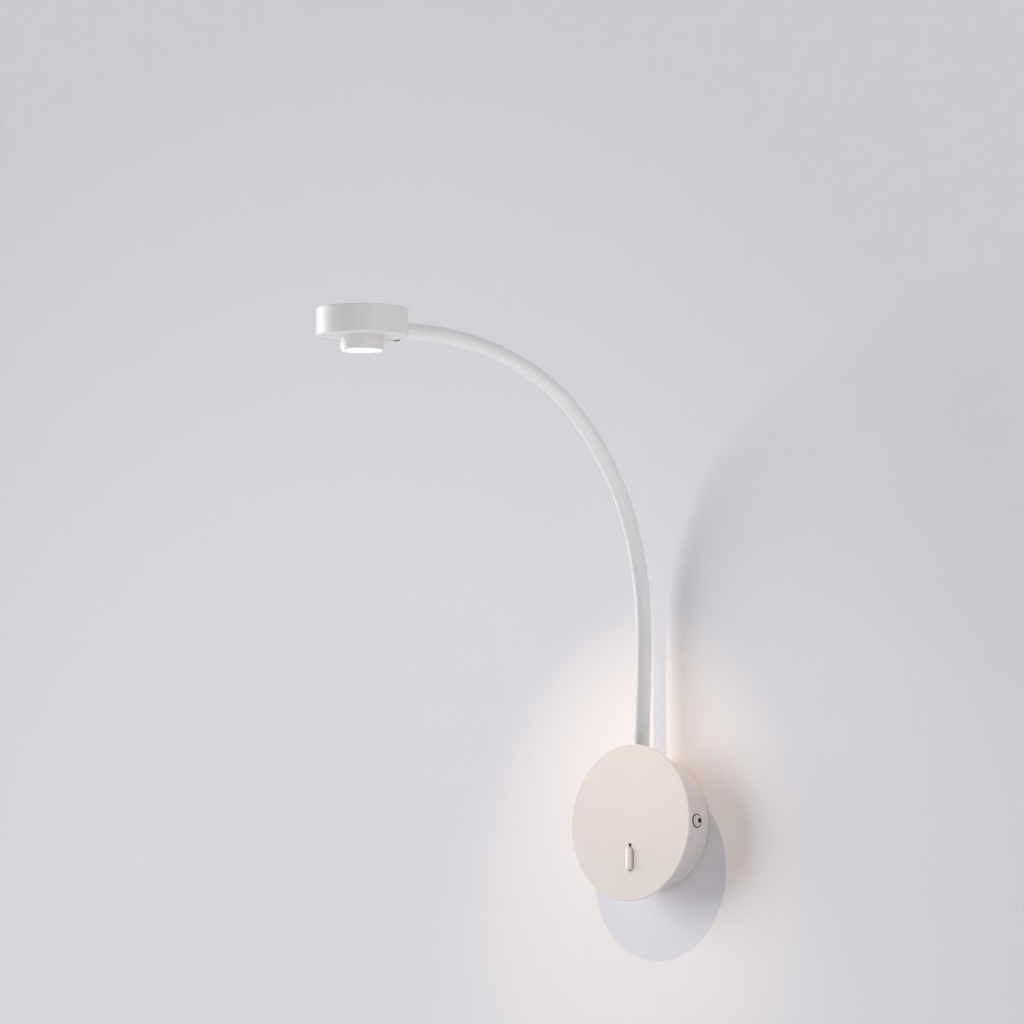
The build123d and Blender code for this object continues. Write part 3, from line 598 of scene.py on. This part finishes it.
class LAMP_OT_gooseneck(Operator):
    """Make the gooseneck: the silicone sleeve, the hose in it and the lead in the hose, in one stretch round every
    hinge
    """

    bl_idname = "lamp.gooseneck"
    bl_label = "Gooseneck"

    def execute(self, context):
        sizes, colours = context.scene.lamp_sizes, context.scene.lamp_colours
        line = ArmLine()
        drum_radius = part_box("arm_hose_0")[0].z
        sleeve_radius = (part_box("arm_sleeve_0")[1].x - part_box("arm_sleeve_0")[0].x) / 2
        hose_radius = sleeve_radius - sizes.sleeve_wall - sizes.hose_gap
        lead_radius = sizes.lead_diameter / 2
        sleeve_end = line.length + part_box("head_shell")[1].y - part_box("arm_sleeve_8")[0].y
        lead_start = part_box("arm_lead_0")[0].z - drum_radius
        lead_end = line.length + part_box("head_shell")[1].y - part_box("arm_lead_8")[0].y
        skin = silicone("sleeve_silicone", colours.sleeve)
        wound = metal("hose_steel", HOSE_STEEL, 0.38, 0.05, (1.0, 0.2, 0.2))
        jacket = moulded("lead_jacket", LEAD_WHITE, 0.45)

        def sleeve_radii(station):
            return sleeve_radius, sleeve_radius - sizes.sleeve_wall

        def hose_radii(station):
            groove = sizes.hose_groove * (0.5 - 0.5 * cos(2 * pi * station / sizes.hose_pitch))
            return hose_radius - groove, hose_radius - sizes.hose_wall

        def lead_radii(station):
            return lead_radius, 0.0

        for index in range(len(line.hinges)):
            arm_tube(
                f"sleeve_{index + 1}", line, index, sleeve_radii, sizes.ring_sides,
                skin, "sleeve", end=sleeve_end, drum_radius=drum_radius,
            )
            arm_tube(
                f"hose_{index + 1}", line, index, hose_radii, sizes.ring_sides // 2,
                wound, "hose", end=sleeve_end, drum_radius=drum_radius,
            )
            arm_tube(
                f"lead_{index + 1}", line, index, lead_radii, sizes.ring_sides // 3,
                jacket, "lead", start=lead_start, end=lead_end,
            )
        return {"FINISHED"}


# ---------------------------------------------------------------- switch
class LAMP_OT_rocker(Operator):
    """Make the switch's rocker, an upright pill on two trunnions, and the dark mark above it"""

    bl_idname = "lamp.rocker"
    bl_label = "Rocker"

    def execute(self, context):
        sizes, colours = context.scene.lamp_sizes, context.scene.lamp_colours
        low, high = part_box("rocker")
        pivot = next(joint["pos_m"] for joint in frame["joints"] if joint["child"] == "rocker")
        cover_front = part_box("base_cover")[0].y
        half_length = (high.z - low.z) / 2
        middle = Vector((0, 0, (high.z + low.z) / 2))
        half_width = sizes.rocker_width / 2
        rim, crown = sizes.rocker_rim, sizes.rocker_crown
        back_y = pivot[1] + ROCKER_BACK
        front_y = low.y + crown
        depths = [
            (back_y, ROCKER_BACK_BEVEL), (back_y - ROCKER_BACK_BEVEL, 0.0),
            (cover_front, 0.0), (front_y + rim + 0.1 * MM, 0.0),
        ]
        for n in range(ROCKER_RIM_STEPS + 1):
            angle = pi / 2 * n / ROCKER_RIM_STEPS
            depths.append((front_y + rim * (1 - sin(angle)), rim * (1 - cos(angle))))
        rings = [
            [point + middle for point in pill_ring(half_length - inset, half_width - inset, depth, ROCKER_SIDES)]
            for depth, inset in depths
        ]
        for n in range(1, ROCKER_CROWN_STEPS):
            share = n / ROCKER_CROWN_STEPS
            inset = rim + (half_width - rim) * share
            depth = front_y - crown * (1 - (1 - share) ** 2)
            pill = pill_ring(half_length - inset, half_width - inset, depth, ROCKER_SIDES)
            rings.append([point + middle for point in pill])
        form = bmesh.new()
        joined_rings(form, rings, closed=False)
        for side in (1, -1):
            start, end = side * (half_width - TRUNNION_ROOT), side * high.x
            place = Matrix.Translation(((start + end) / 2, pivot[1], pivot[2])) @ Matrix.Rotation(pi / 2, 4, "Y")
            bmesh.ops.create_cone(
                form, cap_ends=True, segments=24, radius1=TRUNNION_RADIUS, radius2=TRUNNION_RADIUS,
                depth=abs(end - start), matrix=place
            )
        finish = moulded("rocker_plastic", colours.rocker, 0.30, 0.000006)
        rocker = finished_piece("rocker_key", form, finish, ["rocker"])
        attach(rocker, "rocker")

        dot_low, dot_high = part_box("switch_dot")
        stem, cap = (dot_high.x - dot_low.x) / 2, sizes.mark_diameter / 2
        place = Matrix.Translation((0, cover_front, (dot_low.z + dot_high.z) / 2)) @ Matrix.Rotation(pi / 2, 4, "X")
        profile = [(stem, cover_front - dot_high.y), (stem, SKIN_GAP), (cap, SKIN_GAP)]
        for n in range(1, MARK_STEPS):
            angle = pi / 2 * n / MARK_STEPS
            profile.append((cap * cos(angle), (0.1 + 0.3 * sin(angle)) * MM))
        form = bmesh.new()
        turned(form, profile, place, 32)
        finish = moulded("mark_plastic", colours.mark, 0.35, 0.000004)
        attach(finished_piece("switch_mark", form, finish, ["switch_dot"]), "root")
        return {"FINISHED"}


# ---------------------------------------------------------------- small fasteners
class LAMP_OT_small_fasteners(Operator):
    """Make the dark rings round the side screws' heads and the near-black grub screw under the head's ferrule, which
    draw painted shade
    """

    bl_idname = "lamp.small_fasteners"
    bl_label = "Small Fasteners"

    def execute(self, context):
        sizes = context.scene.lamp_sizes
        low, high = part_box("side_screws")
        drum_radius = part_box("arm_hose_0")[0].z
        axis_y, axis_z = (low.y + high.y) / 2, (low.z + high.z) / 2
        bore = (high.z - low.z) / 2 + 0.03 * MM
        section = (
            (bore, SKIN_GAP),
            (bore + sizes.shade_ring_width, SKIN_GAP),
            (bore + sizes.shade_ring_width, sizes.shade_ring_rise / 2),
            (bore + 0.7 * sizes.shade_ring_width, sizes.shade_ring_rise),
            (bore, sizes.shade_ring_rise),
        )
        # painted shade: a near-black ring round each side screw's head
        finish = rubber("screw_shade_ring_rubber", SCREW_SHADE_RING_BLACK)
        for side, name in ((1, "right_screw_shade_ring"), (-1, "left_screw_shade_ring")):
            form = bmesh.new()
            rings = []
            for radius, rise in section:
                rings.append([])
                for n in range(RING_SIDES):
                    y = axis_y + radius * cos(2 * pi * n / RING_SIDES)
                    z = axis_z + radius * sin(2 * pi * n / RING_SIDES)
                    rings[-1].append(Vector((side * ((drum_radius**2 - z**2) ** 0.5 + rise), y, z)))
            joined_rings(form, rings, closed=True)
            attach(finished_piece(name, form, finish, []), "root")

        low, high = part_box("head_ferrule")
        shell_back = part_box("head_shell")[1].y
        form = bmesh.new()
        place = Matrix.Translation((0, shell_back + sizes.grub_place, low.z)) @ Matrix.Rotation(pi, 4, "X")
        radius = sizes.grub_diameter / 2
        rise = sizes.grub_rise
        profile = (
            (radius, -0.6 * MM),
            (radius, rise - 0.2 * MM),
            (radius - 0.2 * MM, rise),
            (0.55 * radius, rise),
            (0.5 * radius, rise - 0.1 * MM),
            (0.5 * radius, rise - 1.0 * MM),
        )
        turned(form, profile, place)
        # painted shade: the grub screw is near black to draw the shade under the ferrule
        finish = metal("grub_shade_black_steel", GRUB_SHADE_BLACK, 0.40, 0.10)
        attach(finished_piece("ferrule_grub_screw", form, finish, []), "link_8")
        return {"FINISHED"}


# ---------------------------------------------------------------- carried-over pieces
def dress(finish, *names):
    """Gives nodes of the frame their finish."""
    for name in names:
        node = frame["nodes"][name]
        for slot in node.material_slots:
            slot.material = finish


class LAMP_OT_painted_shells(Operator):
    """Paint the cover, the head, the ferrule, the lens holder and the screws"""

    bl_idname = "lamp.painted_shells"
    bl_label = "Painted Shells"

    def execute(self, context):
        colours = context.scene.lamp_colours
        dress(powder_coat("cover_paint", colours.cover, 0.44, 0.2), "base_cover")
        dress(powder_coat("head_paint", colours.head, 0.40), "head_shell", "head_base_plate")
        dress(powder_coat("holder_paint", colours.head, 0.36), "lens_holder", "head_ferrule")
        # side screws: powder coat with painted shade in their sockets
        dress(paint_with_socket_shade("screw_paint", colours.screw, 0.40), "side_screws")
        dress(powder_coat("clamp_paint", colours.head, 0.40), "clamp_screw")
        return {"FINISHED"}


class LAMP_OT_lights(Operator):
    """Light the halo ring, the lens and the diodes"""

    bl_idname = "lamp.lights"
    bl_label = "Halo and Lens"

    def execute(self, context):
        colours = context.scene.lamp_colours
        dress(opal("opal_acrylic", OPAL_WHITE, colours.warm_light, colours.halo_glow), "halo_ring")
        dress(lit_lens("lens_acrylic", LENS_CLEAR, colours.lens_light, colours.lens_glow), "lens")
        dress(lit_phosphor("warm_diode", PHOSPHOR_YELLOW, colours.warm_light, 2.0), "halo_leds", "light_chip")
        return {"FINISHED"}


class LAMP_OT_inner_parts(Operator):
    """Finish the parts behind the cover and in the head"""

    bl_idname = "lamp.inner_parts"
    bl_label = "Inner Parts"

    def execute(self, context):
        colours = context.scene.lamp_colours
        dress(metal("zinc_plate", ZINC, 0.34, 0.05, spangle=150), "wall_plate")
        dress(
            metal("fastener_steel", STEEL, 0.26, 0.04),
            "halo_screws", "driver_screws", "terminal_screws", "sink_screws", "arm_washer",
        )
        dress(
            metal("brass", BRASS, 0.30, 0.08),
            "earth_lug", "earth_screw", "switch_tabs", "arm_nipple", "arm_nut",
        )
        dress(metal("sink_aluminium", ALUMINIUM, 0.42, 0.03, (0.1, 1.0, 1.0)), "heat_sink")
        dress(laminate("board_laminate", BOARD_WHITE), "halo_board", "light_board")
        dress(moulded("driver_case", DRIVER_GREY, 0.42, 0.00002), "driver_case")
        dress(moulded("terminal_plastic", TERMINAL_CREAM, 0.44, 0.00002), "terminal_block")
        dress(moulded("switch_body", colours.switch_body, 0.40, 0.000015), "switch_housing")
        dress(rubber("grommet_rubber", GROMMET_BLACK), "cable_grommet")
        return {"FINISHED"}


# ---------------------------------------------------------------- stage
def front_paint_with_light_pool(name, base, spread, light_pool_centre, reach, grain):
    """Paint that is seen from its front only, with a painted pool of light: palest round one point, out to a reach
    from it.
    """
    finish, nodes, links, shader, place = new_finish(name)
    shader.inputs["Specular IOR Level"].default_value = 0.2
    centred = nodes.new("ShaderNodeMapping")
    centred.vector_type = "TEXTURE"
    centred.inputs["Location"].default_value = light_pool_centre
    centred.inputs["Scale"].default_value = (reach, reach, reach)
    links.new(place, centred.inputs["Vector"])
    painted_light_pool = nodes.new("ShaderNodeTexGradient")
    painted_light_pool.gradient_type = "SPHERICAL"
    links.new(centred.outputs["Vector"], painted_light_pool.inputs["Vector"])
    # painted pool of light: the colour is palest at its centre and fades out to its reach
    tones(nodes, links, painted_light_pool.outputs["Fac"], base, spread, shader.inputs["Base Color"])
    ranged(nodes, links, noise(nodes, links, place, 120), 0.80, 0.92, shader.inputs["Roughness"])
    relief(nodes, links, noise(nodes, links, place, 700), grain, shader)
    clear = nodes.new("ShaderNodeBsdfTransparent")
    sides = nodes.new("ShaderNodeMixShader")
    which = nodes.new("ShaderNodeNewGeometry")
    links.new(which.outputs["Backfacing"], sides.inputs["Fac"])
    links.new(shader.outputs["BSDF"], sides.inputs[1])
    links.new(clear.outputs["BSDF"], sides.inputs[2])
    links.new(sides.outputs["Shader"], nodes["Material Output"].inputs["Surface"])
    return finish


def flat_ring(name, inner, outer, place, finish):
    """Flat ring with its front along the place's own +Z."""
    form = bmesh.new()
    loops = []
    for radius in (inner, outer):
        angles = [2 * pi * n / STAGE_SIDES for n in range(STAGE_SIDES)]
        loops.append([form.verts.new((radius * cos(angle), radius * sin(angle), 0)) for angle in angles])
    for n in range(STAGE_SIDES):
        after = (n + 1) % STAGE_SIDES
        form.faces.new((loops[0][n], loops[1][n], loops[1][after], loops[0][after]))
    mesh = bpy.data.meshes.new(name)
    form.to_mesh(mesh)
    form.free()
    mesh.transform(place)
    mesh.materials.append(finish)
    ring = bpy.data.objects.new(name, mesh)
    bpy.context.scene.collection.objects.link(ring)
    return ring


def sun(name, travel, strength, softness, tint):
    """Far light that travels one way."""
    lamp = bpy.data.lights.new(name, "SUN")
    lamp.energy = strength
    lamp.angle = softness
    lamp.color = tint
    light = bpy.data.objects.new(name, lamp)
    light.rotation_euler = Vector(travel).to_track_quat("-Z", "Y").to_euler()
    bpy.context.scene.collection.objects.link(light)
    return light


def lamp_pieces():
    """Every mesh of the lamp itself."""
    return [piece for piece in bpy.context.scene.objects if piece.type == "MESH" and piece.name not in STAGE_NAMES]


def collection_of(name, pieces):
    """Collection that a light is linked to."""
    group = bpy.data.collections.new(name)
    for piece in pieces:
        group.objects.link(piece)
    return group


class LAMP_OT_stage(Operator):
    """Set the wall, the floor, the soft light and the camera"""

    bl_idname = "lamp.stage"
    bl_label = "Stage"

    def execute(self, context):
        stage = context.scene.lamp_stage
        colours = context.scene.lamp_colours
        scene = context.scene
        scene.view_settings.view_transform = "Standard"

        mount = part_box("halo_ring")[1].x - WALL_OVERLAP
        upright = Matrix.Translation((0, WALL_OFFSET, 0)) @ Matrix.Rotation(pi / 2, 4, "X")
        # the wall and the floor carry a painted pool of light
        wall_light_pool_paint = front_paint_with_light_pool("wall_light_pool_paint", stage.wall, 0.07, PAINTED_WALL_LIGHT_CENTRE, PAINTED_WALL_LIGHT_REACH, 0.00004)
        wall = flat_ring("wall", mount, WALL_REACH, upright, wall_light_pool_paint)
        foot = (0, 0, FLOOR_HEIGHT)
        floor_light_pool_paint = front_paint_with_light_pool("floor_light_pool_paint", stage.floor, 0.01, foot, PAINTED_FLOOR_LIGHT_REACH, 0.00006)
        floor = flat_ring("floor", 0.5 * MM, FLOOR_REACH, Matrix.Translation(foot), floor_light_pool_paint)

        world = bpy.data.worlds.new("daylight")
        world.use_nodes = True
        background = world.node_tree.nodes["Background"]
        background.inputs["Color"].default_value = (*stage.daylight, 1)
        around = world.node_tree.nodes.new("ShaderNodeTexCoord")
        slope = world.node_tree.nodes.new("ShaderNodeVectorMath")
        slope.operation = "DOT_PRODUCT"
        slope.inputs[1].default_value = stage.daylight_slope
        total = world.node_tree.nodes.new("ShaderNodeMath")
        total.operation = "ADD"
        total.inputs[1].default_value = stage.daylight_level
        seen = world.node_tree.nodes.new("ShaderNodeBackground")
        seen.inputs["Color"].default_value = SEEN_BACKGROUND
        seen.inputs["Strength"].default_value = 1.0
        path = world.node_tree.nodes.new("ShaderNodeLightPath")
        direct = world.node_tree.nodes.new("ShaderNodeMath")
        direct.operation = "MAXIMUM"
        any_seen = world.node_tree.nodes.new("ShaderNodeMath")
        any_seen.operation = "MAXIMUM"
        either = world.node_tree.nodes.new("ShaderNodeMixShader")
        links = world.node_tree.links
        links.new(around.outputs["Generated"], slope.inputs[0])
        links.new(slope.outputs["Value"], total.inputs[0])
        links.new(total.outputs["Value"], background.inputs["Strength"])
        links.new(path.outputs["Is Camera Ray"], direct.inputs[0])
        links.new(path.outputs["Is Glossy Ray"], direct.inputs[1])
        links.new(direct.outputs["Value"], any_seen.inputs[0])
        links.new(path.outputs["Is Transmission Ray"], any_seen.inputs[1])
        links.new(any_seen.outputs["Value"], either.inputs["Fac"])
        links.new(background.outputs["Background"], either.inputs[1])
        links.new(seen.outputs["Background"], either.inputs[2])
        links.new(either.outputs["Shader"], world.node_tree.nodes["World Output"].inputs["Surface"])
        scene.world = world

        room = collection_of("room", [wall, floor])
        pieces = collection_of("lamp", lamp_pieces())
        key = sun("soft_key", KEY_TRAVEL, stage.key_level, stage.key_softness, KEY_TINT)
        key.light_linking.receiver_collection = room
        rim = sun("rim_light", RIM_TRAVEL, stage.rim_level, RIM_SOFTNESS, WHITE_TINT)
        rim.light_linking.receiver_collection = pieces
        side = sun("side_light", SIDE_TRAVEL, stage.side_level, SIDE_SOFTNESS, SIDE_TINT)
        side.light_linking.receiver_collection = pieces
        ahead = sun("base_light", BASE_TRAVEL, stage.base_level, BASE_SOFTNESS, BASE_TINT)
        ahead.light_linking.receiver_collection = collection_of("base", [
            piece for piece in lamp_pieces() if piece.name in ("base_cover", "rocker_key")
        ])
        low = sun("low_light", LOW_TRAVEL, stage.low_level, LOW_SOFTNESS, WHITE_TINT)
        low.light_linking.receiver_collection = collection_of("arm_and_head", [
            piece for piece in lamp_pieces() if piece.name.startswith(("sleeve_", "head_", "lens", "clamp_"))
        ])
        low.light_linking.blocker_collection = pieces

        lens_low, lens_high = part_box("lens")
        beam = bpy.data.lights.new("reading_beam", "SPOT")
        beam.energy = stage.beam_level
        beam.color = colours.warm_light
        beam.spot_size = BEAM_ANGLE
        beam.spot_blend = 1.0
        beam.shadow_soft_size = BEAM_RADIUS
        source = bpy.data.objects.new("reading_beam", beam)
        middle = (lens_low + lens_high) / 2
        source.location = (middle.x, middle.y, lens_low.z - BEAM_DROP)
        travel = Vector(BEAM_AIM) - source.location
        source.rotation_euler = travel.to_track_quat("-Z", "Y").to_euler()
        scene.collection.objects.link(source)
        source.light_linking.receiver_collection = collection_of("room_and_base", [wall, floor] + [
            piece for piece in lamp_pieces() if not piece.name.startswith("sleeve_")
        ])

        camera = bpy.data.cameras.new("camera")
        camera.lens = stage.camera_lens
        camera.sensor_width = 36.0
        camera.clip_end = 100.0
        viewer = bpy.data.objects.new("camera", camera)
        turn, rise = stage.camera_turn, stage.camera_rise
        back = Vector((sin(turn) * cos(rise), -cos(turn) * cos(rise), sin(rise)))
        viewer.location = Vector(CAMERA_TARGET) + back * stage.camera_distance
        viewer.rotation_euler = (-back).to_track_quat("-Z", "Y").to_euler()
        scene.collection.objects.link(viewer)
        scene.camera = viewer
        return {"FINISHED"}


# ---------------------------------------------------------------- panel
class LAMP_PT_reading_lamp(Panel):
    """Lists the makers of the lamp's pieces"""

    bl_idname = "LAMP_PT_reading_lamp"
    bl_label = "Reading Lamp"
    bl_space_type = "VIEW_3D"
    bl_region_type = "UI"
    bl_category = "Reading Lamp"

    def draw(self, context):
        column = self.layout.column()
        for maker in MAKERS:
            column.operator(maker.bl_idname)
        for group in ("lamp_sizes", "lamp_colours", "lamp_stage"):
            box = self.layout.box()
            settings = getattr(context.scene, group)
            for name in settings.__annotations__:
                box.prop(settings, name)


MAKERS = (
    LAMP_OT_painted_shells,
    LAMP_OT_gooseneck,
    LAMP_OT_rocker,
    LAMP_OT_small_fasteners,
    LAMP_OT_lights,
    LAMP_OT_inner_parts,
    LAMP_OT_stage,
)
CLASSES = (LampSizes, LampColours, LampStage) + MAKERS + (LAMP_PT_reading_lamp,)


def register():
    """Adds the classes and the settings."""
    for item in CLASSES:
        bpy.utils.register_class(item)
    bpy.types.Scene.lamp_sizes = PointerProperty(type=LampSizes)
    bpy.types.Scene.lamp_colours = PointerProperty(type=LampColours)
    bpy.types.Scene.lamp_stage = PointerProperty(type=LampStage)


def unregister():
    """Takes the settings and the classes away again."""
    del bpy.types.Scene.lamp_stage
    del bpy.types.Scene.lamp_colours
    del bpy.types.Scene.lamp_sizes
    for item in reversed(CLASSES):
        bpy.utils.unregister_class(item)


def main():
    """Makes the lamp and its stage."""
    register()
    bpy.ops.lamp.painted_shells()
    bpy.ops.lamp.gooseneck()
    bpy.ops.lamp.rocker()
    bpy.ops.lamp.small_fasteners()
    bpy.ops.lamp.lights()
    bpy.ops.lamp.inner_parts()
    bpy.ops.lamp.stage()


if __name__ == "__main__":
    main()
